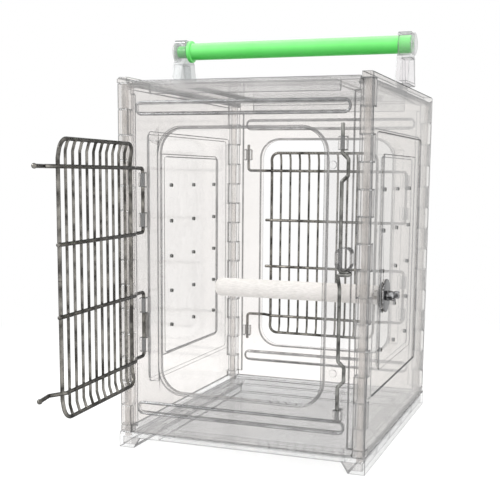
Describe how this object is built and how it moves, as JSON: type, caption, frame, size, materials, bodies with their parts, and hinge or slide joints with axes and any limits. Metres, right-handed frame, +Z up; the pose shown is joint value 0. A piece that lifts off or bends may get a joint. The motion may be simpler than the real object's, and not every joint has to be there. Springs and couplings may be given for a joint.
{
  "type": "small bird travel carrier",
  "caption": "Clear plastic travel carrier for a small parrot, with hinged wire doors front and back, a sliding door bolt, a bolted perch and a tube handle.",
  "frame": {"origin": "centre of the carrier's footprint, on the ground", "axes": "+Z up; -Y is the front, where the open door is; +X is the side the perch is bolted to"},
  "size_m": [0.3042, 0.5634, 0.4635],
  "materials": {
    "clear_plastic": "clear, glossy",
    "wire_steel": "polished stainless wire",
    "hardware_steel": "bright zinc or stainless",
    "grip_green": "glossy",
    "perch_white": "matte, slightly grained"
  },
  "bodies": {
    "carrier_body": {"base_tray": "clear_plastic", "front_panel": "clear_plastic", "back_panel": "clear_plastic", "left_panel": "clear_plastic", "right_panel": "clear_plastic", "roof_panel": "clear_plastic", "corner_rod_front_left": "clear_plastic", "corner_rod_back_left": "clear_plastic", "corner_rod_front_right": "clear_plastic", "corner_rod_back_right": "clear_plastic", "handle_post_left": "clear_plastic", "handle_post_right": "clear_plastic", "handle_grip": "grip_green", "handle_cap_left": "clear_plastic", "handle_cap_right": "clear_plastic", "perch": "perch_white", "perch_stud": "hardware_steel", "perch_washer_inner": "hardware_steel", "perch_washer_outer": "hardware_steel"},
    "front_door_body": {"front_door": "wire_steel"},
    "back_door_body": {"back_door": "wire_steel"},
    "front_bolt_body": {"front_door_bolt": "wire_steel"},
    "wing_nut_body": {"perch_wing_nut": "hardware_steel"}
  },
  "joints": [
    {"name": "front_door_hinge", "type": "hinge", "parent": "carrier_body", "child": "front_door_body", "pos_m": [-0.1081, -0.1675, 0.2085], "axis": [0, 0, 1], "range_deg": [-86, 86.7]},
    {"name": "back_door_hinge", "type": "hinge", "parent": "carrier_body", "child": "back_door_body", "pos_m": [0.1081, 0.1675, 0.2085], "axis": [0, 0, -1], "range_deg": [0, 172]},
    {"name": "front_bolt_slide", "type": "slide", "parent": "carrier_body", "child": "front_bolt_body", "axis": [0, 0, -1], "range_m": [0, 0.02]},
    {"name": "wing_nut_turn", "type": "hinge", "parent": "carrier_body", "child": "wing_nut_body", "pos_m": [0.146, -0.088, 0.177], "axis": [1, 0, 0], "continuous": true}
  ]
}
